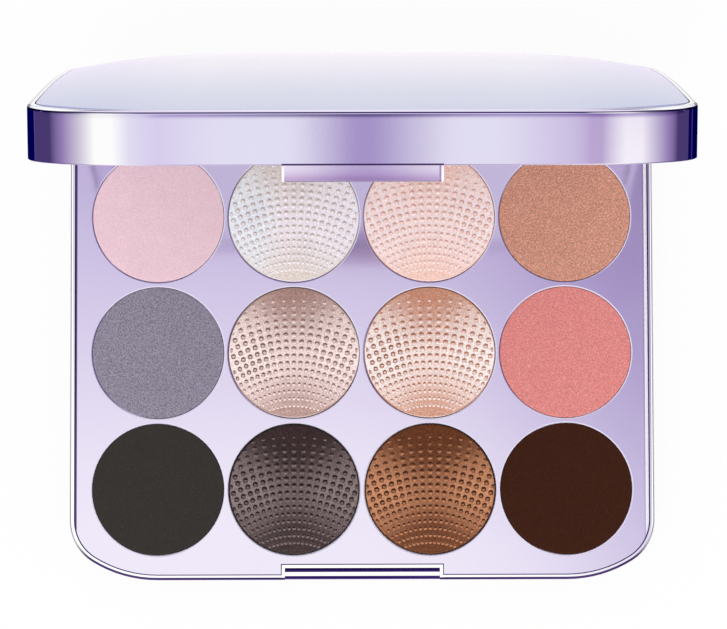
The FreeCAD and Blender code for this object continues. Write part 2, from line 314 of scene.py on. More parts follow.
def makeWorld(s):
    world = bpy.data.worlds.new("studioWorld")
    world.use_nodes = True
    world.cycles.sampling_method = "NONE"
    scene.world = world
    tree = world.node_tree
    tree.nodes.clear()
    x, y, z = splitNode(tree, tree.nodes.new("ShaderNodeTexCoord").outputs["Generated"])
    height = most(tree, z, 0.001)
    slopeX = mathNode(tree, "DIVIDE", x, height)
    slopeY = mathNode(tree, "DIVIDE", y, height)
    sideSlope = mathNode(tree, "ABSOLUTE", slopeX)
    sideShare = mathNode(tree, "DIVIDE", sideSlope, mathNode(tree, "ADD", sideSlope, s["sideReach"]))
    # the ceiling is also darker to the right, less so in front
    lean = mathNode(tree, "POWER", most(tree, slopeX, 0.0), 2.0)
    lean = times(tree, lean, rangeNode(tree, slopeY, *s["leanRange"], *s["leanShare"]), s["rightLean"])
    along = mathNode(tree, "ADD", slopeY, mathNode(tree, "MINIMUM", lean, s["leanLimit"]))
    ceiling = bandNode(tree, along, toned(ceilingStops))
    left = rampNode(tree, sideShare, toned(leftStops))
    right = rampNode(tree, sideShare, toned(rightStops))
    toSide = easeNode(tree, sideSlope, *s["sideRange"])
    notBack = easeNode(tree, slopeY, *s["backRange"], 1.0, 0.0)
    overhead = mixNode(tree, times(tree, toSide, notBack), ceiling, left)
    # the front softbox, darker along its upper edge
    front = mixNode(tree, isAbove(tree, x, 0.0), left, right)
    widen = mathNode(tree, "ADD", times(tree, sideSlope, s["frontWiden"]), 1.0)
    steep = mathNode(tree, "DIVIDE", slopeY, widen)
    dip = times(tree, easeNode(tree, steep, *s["dipRange"]),
                easeNode(tree, slopeX, *s["dipSide"], *s["dipShare"]))
    dipTone = mixNode(tree, rangeNode(tree, sideSlope, *s["slitSide"]), s["slitTone"], s["dipTone"])
    front = mixNode(tree, dip, front, mixNode(tree, 1.0, front, dipTone, "MULTIPLY"))
    inFront = times(tree, easeNode(tree, steep, *s["frontStart"]),
                    easeNode(tree, steep, *s["frontEnd"], 1.0, 0.0))
    seen = mixNode(tree, inFront, overhead, front)
    path = tree.nodes.new("ShaderNodeLightPath").outputs
    plain = background(tree, tones["white"], s["plainLight"])
    lit = shaderMix(tree, path["Is Glossy Ray"], plain, background(tree, seen))
    shown = most(tree, path["Is Camera Ray"], path["Is Transmission Ray"])
    output = tree.nodes.new("ShaderNodeOutputWorld")
    tree.links.new(shaderMix(tree, shown, lit, background(tree, tones["white"])), output.inputs["Surface"])


def flatSheet(name, corners):
    mesh = bpy.data.meshes.new(name)
    mesh.from_pydata(corners, [], [(0, 1, 2, 3)])
    sheet = addObject(name, mesh)
    return sheet


def stageMaterial(sheet, name):
    # an empty material; gives back its tree and the socket for its surface
    material = bpy.data.materials.new(name)
    material.use_nodes = True
    sheet.data.materials.append(material)
    tree = material.node_tree
    tree.nodes.clear()
    return tree, tree.nodes.new("ShaderNodeOutputMaterial").inputs["Surface"]


def glowNode(tree, colour):
    node = tree.nodes.new("ShaderNodeEmission")
    node.inputs["Color"].default_value = (*colour, 1.0)
    return node.outputs[0]


def makeFloor(s):
    half = s["floorSize"] / 2
    floor = flatSheet("floor", [(-half, -half, 0), (half, -half, 0), (half, half, 0), (-half, half, 0)])
    tree, surface = stageMaterial(floor, "floorWhite")
    matt = tree.nodes.new("ShaderNodeBsdfDiffuse")
    matt.inputs["Color"].default_value = (s["floorWhite"],) * 3 + (1.0,)
    path = tree.nodes.new("ShaderNodeLightPath").outputs
    seen = most(tree, path["Is Camera Ray"], path["Is Glossy Ray"], path["Is Transmission Ray"])
    share = times(tree, seen, s["floorGlow"])
    tree.links.new(shaderMix(tree, share, matt.outputs[0], glowNode(tree, tones["white"])), surface)


def makeCards(s):
    # left and right of the view, where only polished surfaces show them
    long = s["cardLength"]
    for side, cards in s["cards"].items():
        for inner, outer, colour in cards:
            near, far = sorted((side * inner, side * outer))
            card = flatSheet("card", [(near, -long, mm), (far, -long, mm), (far, long, mm), (near, long, mm)])
            tree, surface = stageMaterial(card, "darkCard")
            tree.links.new(glowNode(tree, colour), surface)
            card.visible_camera = False
            card.visible_diffuse = False
            card.visible_shadow = False
            card.visible_transmission = False


def makeLamp(s):
    data = bpy.data.lights.new("softLamp", "AREA")
    data.shape = "DISK"
    data.size = s["lampSize"]
    data.energy = s["lampPower"]
    lamp = addObject("softLamp", data)
    lamp.location = s["lampPlace"]
    lamp.rotation_euler = (-Vector(s["lampPlace"])).to_track_quat("-Z", "Y").to_euler()
    lamp.visible_glossy = False


makeWorld(studio)
makeFloor(studio)
makeCards(studio)
makeLamp(studio)
print("studio ready")


# shared effects
def newGroup(name, inputs, outputs):
    group = bpy.data.node_groups.new(name, "ShaderNodeTree")
    for label, value in inputs:
        socket = group.interface.new_socket(name=label, in_out="INPUT", socket_type="NodeSocketFloat")
        socket.default_value = value
    for label in outputs:
        group.interface.new_socket(name=label, in_out="OUTPUT", socket_type="NodeSocketFloat")
    return group, group.nodes.new("NodeGroupInput").outputs, group.nodes.new("NodeGroupOutput").inputs


# pressed grain: soft clouds, fine grain and bright flakes of pearl
def makeGrainGroup():
    group, given, out = newGroup(
        "pressedGrain",
        (("Grain Scale", 3300.0), ("Flake Scale", 5200.0), ("Flake Share", 0.12), ("Cloud", 0.10),
         ("Grain", 0.35)),
        ("Shade", "Flakes", "Height"),
    )
    place = objectPlace(group)
    grain = noiseNode(group, given["Grain Scale"], 3.0, place, 0.6)
    cloud = noiseNode(group, 260.0, 2.0, place)
    cells = group.nodes.new("ShaderNodeTexVoronoi")
    group.links.new(place, cells.inputs["Vector"])
    group.links.new(given["Flake Scale"], cells.inputs["Scale"])
    chance = group.nodes.new("ShaderNodeSeparateColor")
    group.links.new(cells.outputs["Color"], chance.inputs[0])
    flakes = rangeNode(group, chance.outputs[0], remainder(group, given["Flake Share"]), 1.0)
    cloudShade = times(group, mathNode(group, "SUBTRACT", cloud, 0.5), given["Cloud"])
    grainShade = times(group, mathNode(group, "SUBTRACT", grain, 0.5), given["Grain"])
    shade = mathNode(group, "ADD", mathNode(group, "ADD", cloudShade, grainShade), 1.0)
    for label, value in (("Shade", shade), ("Flakes", flakes), ("Height", grain)):
        group.links.new(value, out[label])
    return group


# breath: faint clouds and hairlines in the gloss of a polished surface
def makeBreathGroup():
    group, given, out = newGroup("polishBreath", (("Roughness", 0.06), ("Amount", 0.02)),
                                 ("Roughness", "Height"))
    place = objectPlace(group)
    cloud = noiseNode(group, 90.0, 3.0, place)
    fine = noiseNode(group, 1800.0, 2.0, place)
    wave = times(group, mathNode(group, "SUBTRACT", cloud, 0.5), given["Amount"])
    group.links.new(mathNode(group, "ADD", given["Roughness"], wave, clamp=True), out["Roughness"])
    group.links.new(fine, out["Height"])
    return group


grainGroup = makeGrainGroup()
breathGroup = makeBreathGroup()


def newMaterial(name):
    material = bpy.data.materials.new(name)
    material.use_nodes = True
    shader = material.node_tree.nodes["Principled BSDF"]
    return material, material.node_tree, shader


def placeGroup(tree, group, **values):
    node = tree.nodes.new("ShaderNodeGroup")
    node.node_tree = group
    feedAll(tree, node, **values)
    return node


def bumpNode(tree, height, distance, strength=1.0):
    node = tree.nodes.new("ShaderNodeBump")
    feedAll(tree, node, Height=height, Distance=distance, Strength=strength)
    return node.outputs["Normal"]


# the hinge, about which everything on the lid is turned from its closed place to its open one
lidTurn = {"y": 45.3706 * mm, "z": 8.0 * mm, "openDeg": 77.0}
turnSin = math.sin(math.radians(lidTurn["openDeg"]))
turnCos = math.cos(math.radians(lidTurn["openDeg"]))


def closedHeight(tree, place):
    # height that a point of the lid has when the lid is shut
    offset = lidTurn["z"] - lidTurn["y"] * turnSin - lidTurn["z"] * turnCos
    return mathNode(tree, "ADD", dotNode(tree, place, (0.0, turnSin, turnCos)), offset)


# metallised lavender on the case, the tray and the lid
lavenderPlain = {
    "colour": (0.80, 0.74, 0.92),
    "metal": 1.0,
    "rough": 0.06,
    "edge": (0.62, 0.55, 0.86),
    "breath": 0.3,                       # unevenness of the gloss, as a share of the roughness
    "breathDepth": 0.0004 * mm,
    "dull": 0.98,
    "tintScale": 40.0,
}
lavenderFinishes = {
    "case_lavender": {},
    "tray_lavender": {"rough": 0.10, "edge": (0.80, 0.74, 0.95)},
    "lid_lavender": {"rough": 0.035},
    "latch_lavender": {},
    "inner_lavender": {"colour": (0.64, 0.56, 0.79), "metal": 0.10, "rough": 0.42,
                       "edge": (0.95, 0.92, 0.98)},
}
tabHalf = 13.8 * mm                      # half the width of the lid's tab

# the case, with painted light: a painted highlight on the rim's top, painted shade on its inner side and the
# ledge under the tray's edge, painted dark reflections on its outer edge and painted bands across the notch;
# a lean is the level part of the normal, below zero where it points inwards
casePaint = {
    "rimPaintedHighlight": (0.99, 0.98, 1.00),      # painted highlight along the rim's top, whiter than its walls
    "rimRange": (7.50 * mm, 7.85 * mm),
    "innerPaintedShade": (0.17, 0.11, 0.38),     # painted shade on the rim's inner side, in the gap beside the tray
    "innerLean": (-0.30, -0.08),
    "gapPaintedShade": (0.10, 0.07, 0.24),       # painted shade on the ledge under the tray's edge
    "gapZ": 7.2 * mm,
    "gapUp": 0.5,
    "hingeY": 42.0 * mm,                 # behind this the ledge and the sides have no paint
    "edgeZ": 7.42 * mm,
    "edgePaintedReflection": (0.09, 0.045, 0.20),     # painted dark reflection on the rim's outer edge in front
    "darkLean": (0.0, 0.16),
    "frontRange": (-0.85, -0.35),
    "edgeGreyPaintedReflection": (0.60, 0.60, 0.62),      # and a painted grey reflection at the sides
    "greyLean": (0.55, 0.75),
    # painted dark reflections and a painted highlight in bands across the notch, by place along y in
    # millimetres
    "notchPaintedBands": ((-47.80, (0.10, 0.055, 0.28)), (-47.12, (0.10, 0.055, 0.28)), (-47.02, (1.0, 1.0, 1.0)),
                   (-46.36, (1.0, 1.0, 1.0)), (-46.26, (0.05, 0.02, 0.17)), (-45.30, (0.05, 0.02, 0.17))),
    "notchHalf": 15.6 * mm,
    "notchY": -45.30 * mm,
    "notchZ": 7.40 * mm,
    "notchUp": 0.25,
}


def caseColour(tree, shader, colour, s):
    normal = objectNormal(tree)
    x, y, z = splitNode(tree, objectPlace(tree))
    normalX, normalY, normalZ = splitNode(tree, normal)
    rim = easeNode(tree, z, *s["rimRange"])
    # how far the surface leans outwards, below zero inwards, and how much of that is to the front
    flat = tree.nodes.new("ShaderNodeCombineXYZ")
    tree.links.new(x, flat.inputs[0])
    tree.links.new(y, flat.inputs[1])
    lean = hypotNode(tree, normalX, normalY)
    facing = times(tree, lean, mathNode(tree, "SIGN", dotNode(tree, normal, flat.outputs[0])))
    front = mathNode(tree, "DIVIDE", normalY, most(tree, lean, 0.05))
    front = easeNode(tree, front, *s["frontRange"], 1.0, 0.0)
    inner = easeNode(tree, facing, *s["innerLean"], 1.0, 0.0)
    upper = isAbove(tree, z, s["edgeZ"])
    sides = mathNode(tree, "SUBTRACT", upper, front, clamp=True)
    notHinge = isBelow(tree, y, s["hingeY"])
    dark = times(tree, easeNode(tree, facing, *s["darkLean"]), front, upper)
    grey = times(tree, easeNode(tree, facing, *s["greyLean"]), sides, notHinge)
    ledge = times(tree, isAbove(tree, normalZ, s["gapUp"]), isBelow(tree, z, s["gapZ"]), notHinge)
    inNotch = times(tree, isBelow(tree, mathNode(tree, "ABSOLUTE", x), s["notchHalf"]),
                    isBelow(tree, y, s["notchY"]), isBelow(tree, z, s["notchZ"]),
                    isAbove(tree, normalZ, s["notchUp"]))
    feed(tree, shader.inputs["Metallic"], remainder(tree, grey))
    # painted light: a highlight on the rim's top, shade on its inner side and ledge, dark reflections on its
    # edge, bands in the notch
    return paintOver(tree, colour, (rim, s["rimPaintedHighlight"]), (inner, s["innerPaintedShade"]), (dark, s["edgePaintedReflection"]),
                     (grey, s["edgeGreyPaintedReflection"]), (ledge, s["gapPaintedShade"]),
                     (inNotch, bandNode(tree, y, s["notchPaintedBands"], mm)))


# the lid's frame: a painted highlight on its rim, a painted dark reflection in a line under it at the
# corners, painted light over the seam round the plate, painted shade on the lip along the tab's root, and a
# plain inside;
# heights, depths and leans are those of the shut lid
framePaint = {
    "rimPaintedHighlight": (0.99, 0.98, 1.00),
    "topRange": (0.80, 0.92),
    "rimGreyPaintedReflection": (0.42, 0.41, 0.42),       # painted grey reflection as an outline where the rim turns over to the sides
    "outlineRange": (57.12 * mm, 57.27 * mm),
    "outlineUp": (0.3, 0.5),
    "cornerRange": (44.0 * mm, 53.0 * mm),
    "cornerLift": 0.42,
    # painted dark reflection in a line under the rim at the corners
    "cornerPaintedReflection": (0.012, 0.008, 0.10),
    "lineRange": (0.03, 0.12),
    "inside": (0.64, 0.56, 0.79),
    "inwardLean": -0.35,
    "underUp": -0.6,
    "seamRange": (-38.0 * mm, -18.0 * mm),   # behind this the seam round the plate has painted light over its shade
    "seamHigh": 16.0 * mm,
    "lipPaintedShade": (0.10, 0.06, 0.17),       # painted shade on the lip along the root of the tab
    "lipRange": (8.50 * mm, 8.58 * mm),
}


def lidColour(tree, shader, colour, s):
    place = objectPlace(tree)
    normal = objectNormal(tree)
    x = splitNode(tree, place)[0]
    away = mathNode(tree, "ABSOLUTE", x)
    height = closedHeight(tree, place)
    up = dotNode(tree, normal, (0.0, turnSin, turnCos))
    corner = easeNode(tree, away, *s["cornerRange"])
    lifted = mathNode(tree, "ADD", up, times(tree, corner, s["cornerLift"]))
    top = easeNode(tree, lifted, *s["topRange"])
    line = times(tree, easeNode(tree, up, *s["lineRange"]), corner)
    outline = times(tree, rangeNode(tree, away, *s["outlineRange"]), rangeNode(tree, up, *s["outlineUp"]))
    # inside: surfaces that face the middle of the lid or, with the lid shut, the table
    back = (0.0, turnCos, -turnSin)
    offset = lidTurn["y"] - lidTurn["y"] * turnCos + lidTurn["z"] * turnSin
    depth = mathNode(tree, "ADD", dotNode(tree, place, back), offset)
    facing = mathNode(tree, "ADD", times(tree, splitNode(tree, normal)[0], x),
                      times(tree, dotNode(tree, normal, back), depth))
    facing = mathNode(tree, "DIVIDE", facing, hypotNode(tree, x, depth))
    inward = isBelow(tree, facing, s["inwardLean"])
    seam = times(tree, isAbove(tree, height, s["seamHigh"]), inward, rangeNode(tree, depth, *s["seamRange"]))
    inside = times(tree, isBelow(tree, height, s["seamHigh"]), inward)
    inside = most(tree, inside, isBelow(tree, up, s["underUp"]))
    plain = most(tree, times(tree, top, corner), seam, inside)
    feed(tree, shader.inputs["Metallic"], remainder(tree, plain))
    # painted shade on the lip along the tab's root
    root = times(tree, isBelow(tree, away, tabHalf), rangeNode(tree, height, *s["lipRange"], 1.0, 0.0),
                 isBelow(tree, depth, 0.0))
    # painted light: a highlight on the rim and the seam, dark reflections under the rim at the corners, a
    # grey outline and shade
    return paintOver(tree, colour, (line, s["cornerPaintedReflection"]), (top, s["rimPaintedHighlight"]), (outline, s["rimGreyPaintedReflection"]),
                     (seam, s["rimPaintedHighlight"]), (inside, s["inside"]), (root, s["lipPaintedShade"]))


# the lid's tab: painted light and shade in bands along it, a painted shaded stripe at its right
# and painted highlights at its ends left and right
tabPaint = {
    # from its free end to its root, in millimetres above the table with the lid shut
    "paintedLightBands": ((5.30, (0.34, 0.25, 0.44)), (5.45, (0.88, 0.80, 0.94)), (5.60, (0.62, 0.46, 0.70)),
              (5.95, (0.64, 0.47, 0.71)), (6.60, (0.76, 0.63, 0.84)), (7.60, (0.88, 0.78, 0.94)),
              (8.10, (0.88, 0.78, 0.94)), (8.20, (0.14, 0.09, 0.24)), (8.40, (0.12, 0.08, 0.20))),
    "rootZ": 8.12 * mm,
    "paintedShadeStripe": (0.46, 0.32, 0.60),
    "stripeRange": (tabHalf - 0.85 * mm, tabHalf - 0.65 * mm),
    "endPaintedHighlight": (0.97, 0.92, 1.00),
    "endFrom": tabHalf - 0.40 * mm,
}


def latchColour(tree, shader, s):
    place = objectPlace(tree)
    x = splitNode(tree, place)[0]
    height = closedHeight(tree, place)
    shown = isBelow(tree, height, s["rootZ"])
    paintedShadeStripe = times(tree, easeNode(tree, x, *s["stripeRange"]), shown)
    end = times(tree, isAbove(tree, mathNode(tree, "ABSOLUTE", x), s["endFrom"]), shown)
    feed(tree, shader.inputs["Metallic"], remainder(tree, end))
    # painted light: bands of reflection and shade, a shaded stripe and highlighted ends
    paintedLightBands = bandNode(tree, height, s["paintedLightBands"], mm)
    return paintOver(tree, paintedLightBands, (paintedShadeStripe, s["paintedShadeStripe"]), (end, s["endPaintedHighlight"]))


# the tray, with painted light at the wells' mouths and along its outer edge; its bands are measured from its
# left or right edge
trayPaint = {
    "mouthPaintedHighlight": (0.80, 0.75, 0.91),     # painted highlight on the mouths of the wells
    "mouthPaintedShade": (0.36, 0.28, 0.55),    # and painted shade where they lean to the back and the right
    "mouthLean": (-0.05, 0.35),
    "mouthRange": (-16.0 * mm, -10.0 * mm),
    "mouthUp": (0.990, 0.9998),
    "leftDark": (0.09, 0.055, 0.20),     # the outer edge at the left, in shade
    "leftBand": (0.20 * mm, 0.34 * mm),
    "rightWhite": (0.98, 0.97, 1.00),    # and at the right, in light
    "rightBand": (-0.68 * mm, -0.54 * mm),
    "fallPaintedShade": (0.45, 0.40, 0.62),      # painted shade: the face is a little darker beside its light edge
    "fallBand": (-1.10 * mm, -0.68 * mm),
    "fallShare": 0.35,
}


def trayEdge(tree, shader, colour, s):
    # the rounded mouths of the wells are plain and pale with a painted highlight and painted shade, so that
    # they don't mirror the horizon; the outer edge has painted shade at the left and a painted highlight at
    # the right
    low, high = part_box("pan_tray")
    x, y = splitNode(tree, objectPlace(tree))[:2]
    normalX, normalY, normalZ = splitNode(tree, objectNormal(tree))
    level = easeNode(tree, normalZ, *s["mouthUp"])
    shade = easeNode(tree, mathNode(tree, "ADD", normalX, normalY), *s["mouthLean"])
    shade = times(tree, shade, rangeNode(tree, y, *s["mouthRange"]))
    colour = mixNode(tree, level, mixNode(tree, shade, s["mouthPaintedHighlight"], s["mouthPaintedShade"]), colour)
    left = easeNode(tree, x, *[low[0] + step for step in s["leftBand"]], 1.0, 0.0)
    right = easeNode(tree, x, *[high[0] + step for step in s["rightBand"]])
    fall = easeNode(tree, x, *[high[0] + step for step in s["fallBand"]], 0.0, s["fallShare"])
    plain = most(tree, left, right, remainder(tree, level))
    feed(tree, shader.inputs["Metallic"], remainder(tree, plain))
    return paintOver(tree, colour, (fall, mixNode(tree, 1.0, colour, s["fallPaintedShade"], "MULTIPLY")),
                     (left, s["leftDark"]), (right, s["rightWhite"]))


def unevenBase(tree, s):
    # a slightly uneven colour, and the breath on its gloss
    breath = placeGroup(tree, breathGroup, Roughness=s["rough"], Amount=s["breath"] * s["rough"])
    tint = noiseNode(tree, s["tintScale"], 2.0, objectPlace(tree))
    dull = tuple(s["dull"] * c for c in s["colour"])
    return mixNode(tree, tint, dull, s["colour"]), breath.outputs


def lavender(name, s):
    material, tree, shader = newMaterial(name)
    colour, breath = unevenBase(tree, s)
    shader.inputs["Metallic"].default_value = s["metal"]
    if name == "case_lavender":
        colour = caseColour(tree, shader, colour, casePaint)
    if name == "lid_lavender":
        colour = lidColour(tree, shader, colour, framePaint)
    if name == "latch_lavender":
        colour = latchColour(tree, shader, tabPaint)
    if name == "tray_lavender":
        colour = trayEdge(tree, shader, colour, trayPaint)
    hairlines = bumpNode(tree, breath["Height"], s["breathDepth"])
    feedAll(tree, shader, Base_Color=colour, Roughness=breath["Roughness"], Normal=hairlines,
            Specular_Tint=(*s["edge"], 1.0))
    return material


# pearl lacquer on the lid's plate: cool grey near the front edge, warmer and lighter behind it, partly the
# pearl's own shift and partly a painted reflection
pearlFinish = {
    "cool": (0.59, 0.60, 0.79),
    "warm": (0.92, 0.71, 1.00),
    "rough": 0.30,
    "coatRough": 0.04,
    "shift": (0.30, 0.95),               # share of the plate's height over which the colour turns
    "cloudScale": 22.0,
    "cloudShare": 0.12,                  # how far clouds move the turn
    "sparkle": 0.05,
    "sideRange": (28.0 * mm, 56.0 * mm),
    "sideDim": (0.82, 0.86, 0.965),
    "sideCoat": 0.35,
}


def pearl(s):
    material, tree, shader = newMaterial("pearl")
    low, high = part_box("lid_plate")
    place = objectPlace(tree)
    away = mathNode(tree, "ABSOLUTE", splitNode(tree, place)[0])
    share = rangeNode(tree, splitNode(tree, place)[2], low[2], high[2])
    cloud = mathNode(tree, "SUBTRACT", noiseNode(tree, s["cloudScale"], 2.0, place), 0.5)
    share = mathNode(tree, "ADD", share, times(tree, cloud, s["cloudShare"]))
    # partly painted reflection: the colour turns warmer and lighter up the plate
    colour = mixNode(tree, easeNode(tree, share, *s["shift"]), s["warm"], s["cool"])
    dimmed = mixNode(tree, 1.0, colour, s["sideDim"], "MULTIPLY")
    colour = mixNode(tree, easeNode(tree, away, *s["sideRange"]), colour, dimmed)
    flakes = placeGroup(tree, grainGroup, Grain_Scale=5200.0, Flake_Scale=9000.0, Flake_Share=0.2, Cloud=0.02)
    sparkle = times(tree, flakes.outputs["Flakes"], s["sparkle"])
    coat = rangeNode(tree, away, *s["sideRange"], 1.0, s["sideCoat"])
    feedAll(tree, shader, Base_Color=mixNode(tree, sparkle, colour, tones["white"]), Metallic=0.0,
            Roughness=s["rough"], Coat_Weight=coat, Coat_Roughness=s["coatRough"])
    return material


# pressed powders: colour, colour of the flakes, gloss, strength of the grain's shading and of its relief;
# the beaded ones also have a colour of painted shade and one of painted lustre, a painted sheen
powderKeys = ("colour", "flake", "rough", "grain", "relief", "shade", "lustre")
powderFinishes = {
    "a1": ((0.85, 0.585, 0.655), (0.98, 0.84, 0.88), 0.55, 0.50, 0.6),
    "a2": ((0.76, 0.65, 0.58), (0.96, 0.97, 1.00), 0.30, 1.15, 0.2, (0.63, 0.53, 0.55), (0.98, 0.91, 1.00)),
    "a3": ((0.94, 0.59, 0.495), (1.00, 0.88, 0.84), 0.30, 1.20, 0.2, (0.76, 0.41, 0.34), (1.00, 0.84, 0.85)),
    "a4": ((0.61, 0.27, 0.188), (0.98, 0.70, 0.55), 0.45, 2.20, 0.9),
    "b1": ((0.238, 0.212, 0.281), (0.52, 0.49, 0.58), 0.55, 2.40, 0.9),
    "b2": ((0.42, 0.245, 0.21), (0.90, 0.76, 0.72), 0.26, 1.60, 0.2, (0.12, 0.065, 0.052),
           (1.00, 0.82, 0.79)),
    "b3": ((0.60, 0.265, 0.165), (1.00, 0.82, 0.74), 0.26, 1.60, 0.2, (0.24, 0.075, 0.040),
           (1.00, 0.88, 0.85)),
    "b4": ((0.72, 0.225, 0.21), (0.96, 0.52, 0.50), 0.55, 1.30, 0.9),
    "c1": ((0.032, 0.027, 0.023), (0.05, 0.045, 0.04), 0.80, 0.6, 0.6),
    "c2": ((0.038, 0.020, 0.020), (0.20, 0.15, 0.15), 0.28, 2.40, 0.2, (0.006, 0.003, 0.003),
           (0.24, 0.175, 0.177)),
    "c3": ((0.122, 0.033, 0.009), (0.50, 0.24, 0.12), 0.28, 2.00, 0.2, (0.028, 0.007, 0.002),
           (0.56, 0.24, 0.122)),
    "c4": ((0.042, 0.008, 0.001), (0.06, 0.022, 0.012), 0.80, 0.6, 0.6),
}
powderGrain = {
    "flakeShare": 0.15,
    "glint": 0.45,
    "beadedGlint": 0.45,                 # share of the glint that beaded powders keep
    "flakeGloss": 0.8,                   # roughness of a flake as a share of the powder's
    "reliefDepth": 0.02 * mm,
    "ior": {"a": 1.45, "b": 1.45, "c": 1.30},
}
# painted lustre by how far the surface leans, as a slope along y: level and forward-leaning parts get the
# painted sheen
paintedLustreStops = (
    (-0.70, 0.85), (-0.40, 0.95), (-0.26, 0.05), (-0.15, 0.10), (-0.10, 0.45), (-0.04, 0.92),
    (0.0, 1.0), (0.05, 0.70), (0.10, 0.20), (0.15, 0.0), (0.70, 0.0),
)
# a reach is a stretch of the pan, as shares of its radius from its middle
# settings of the painted lustre and painted shade on the beaded powders
paintedLustreShade = {
    "focus": {"a": 1.0, "b": 1.0, "c": 1.45},    # how fast the lustre falls off, by row
    "wedge": (1.20, 0.62),               # and how that differs from the middle of the pan to its sides
    "wedgeReach": (0.10, 0.85),
    "centre": {"a": 0.80, "b": 0.84, "c": 0.55},    # share of the lustre along the middle of the pan
    "centreReach": (0.10, 0.55),
    "centreSteep": (0.28, 0.42),         # slopes that keep their lustre there
    "middleShade": {"a": 0.42, "b": 1.0, "c": 1.0},    # and share of the shade there
    "middleReach": (0.15, 0.55),
    "coolLeft": {"a2": (0.88, 0.92, 1.00)},
    "coolReach": (-0.55, -0.15),
    "steep": (0.26, 0.85),               # slopes over which a bead's back turns dark with painted shade
    "ringSteep": (0.48, 1.00),           # slopes over which a bead gets a painted shade ring all round, left and right
    "ringAside": (0.20, 0.50),
    "ringReach": (0.30, 0.60),           # rings stay near the middle, front to back
    # share of the shade at the left and at the right of each pan, and at its back and front
    "sideShare": {"a2": (1.0, 0.32), "a3": (0.65, 1.0), "b2": (1.0, 0.55), "b3": (1.0, 0.35),
                  "c2": (1.0, 0.8), "c3": (1.0, 1.0)},
    "sideReach": (-0.6, 0.6),
    "backShare": 0.30,
    "backReach": (0.25, 0.65),
    "frontShare": 0.35,
    "frontReach": (-0.75, -0.35),
    "rim": {"a": (1.012, 1.020), "b": (1.008, 1.018), "c": (0.990, 1.005)},
}


def paintedLustreColour(tree, name, s, shade):
    row = name[0]
    low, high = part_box("powder_" + name)
    radius = (high[0] - low[0]) / 2
    place = splitNode(tree, objectPlace(tree))
    offsets = [mathNode(tree, "SUBTRACT", place[axis], (low[axis] + high[axis]) / 2) for axis in (0, 1)]
    across, back = [mathNode(tree, "DIVIDE", offset, radius) for offset in offsets]
    aside = mathNode(tree, "ABSOLUTE", across)
    x, y, z = splitNode(tree, objectNormal(tree))
    z = most(tree, z, 0.05)
    leanX = mathNode(tree, "DIVIDE", x, z)
    leanY = mathNode(tree, "DIVIDE", y, z)
    slope = hypotNode(tree, leanX, leanY)
    wedge = rangeNode(tree, aside, *shade["wedgeReach"], *shade["wedge"])
    focused = times(tree, leanY, shade["focus"][row], wedge)
    share = bandNode(tree, focused, [(lean, (level,) * 3) for lean, level in paintedLustreStops])
    middle = easeNode(tree, aside, *shade["centreReach"], shade["centre"][row], 1.0)
    middle = most(tree, middle, easeNode(tree, slope, *shade["centreSteep"]))
    cool = easeNode(tree, across, *shade["coolReach"], 1.0, 0.0)
    lustre = mixNode(tree, cool, s["lustre"], shade["coolLeft"].get(name, s["lustre"]))
    # painted sheen: the lustre colour where the surface lies level or leans forward
    colour = mixNode(tree, times(tree, share, middle), s["colour"], lustre)
    # painted shade: dark backs on the beads, dark rings round them to the left and right, and a dark edge
    # round the cake
    ring = times(tree, easeNode(tree, slope, *shade["ringSteep"]), easeNode(tree, aside, *shade["ringAside"]),
                 rangeNode(tree, mathNode(tree, "ABSOLUTE", back), *shade["ringReach"], 1.0, 0.0))
    dark = most(tree, easeNode(tree, leanY, *shade["steep"]), ring)
    dark = times(tree, dark, easeNode(tree, across, *shade["sideReach"], *shade["sideShare"][name]),
                 rangeNode(tree, aside, *shade["middleReach"], shade["middleShade"][row], 1.0),
                 easeNode(tree, back, *shade["backReach"], 1.0, shade["backShare"]),
                 easeNode(tree, back, *shade["frontReach"], shade["frontShare"], 1.0))
    dark = most(tree, dark, rangeNode(tree, hypotNode(tree, across, back), *shade["rim"][row]))
    return mixNode(tree, dark, colour, s["shade"])


def pressedPowder(name, s, grainSet):
    material, tree, shader = newMaterial("powder_" + name)
    grain = placeGroup(tree, grainGroup, Flake_Share=grainSet["flakeShare"], Grain=s["grain"]).outputs
    beaded = "lustre" in s
    colour = paintedLustreColour(tree, name, s, paintedLustreShade) if beaded else (*s["colour"], 1.0)
    shaded = tree.nodes.new("ShaderNodeHueSaturation")
    feed(tree, shaded.inputs["Color"], colour)
    tree.links.new(grain["Shade"], shaded.inputs["Value"])
    glint = times(tree, grain["Flakes"], grainSet["glint"] * (grainSet["beadedGlint"] if beaded else 1.0))
    colour = mixNode(tree, glint, shaded.outputs[0], s["flake"])
    gloss = rangeNode(tree, grain["Flakes"], 0.0, 1.0, s["rough"], grainSet["flakeGloss"] * s["rough"])
    relief = bumpNode(tree, grain["Height"], grainSet["reliefDepth"], s["relief"])
    feedAll(tree, shader, Base_Color=colour, Metallic=0.0, Roughness=gloss, Normal=relief,
            IOR=grainSet["ior"][name[0]])
    return material


# plain metals, glass, tape and glue
plainLook = {"breath": 0.4, "dull": 0.94, "tintScale": 120.0}
plainFinishes = {
    # the tin is painted dark, as painted shade in the gap round each cake
    "pan_tin": {"colour": (0.10, 0.085, 0.11), "metal": 1.0, "rough": 0.30},
    "pin_steel": {"colour": (0.56, 0.56, 0.58), "metal": 1.0, "rough": 0.25},
    "mirror_glass": {"colour": (0.90, 0.91, 0.93), "metal": 1.0, "rough": 0.012},
    "tape": {"colour": (0.82, 0.82, 0.80), "metal": 0.0, "rough": 0.7},
    "glue": {"colour": (0.78, 0.73, 0.58), "metal": 0.0, "rough": 0.35},
}


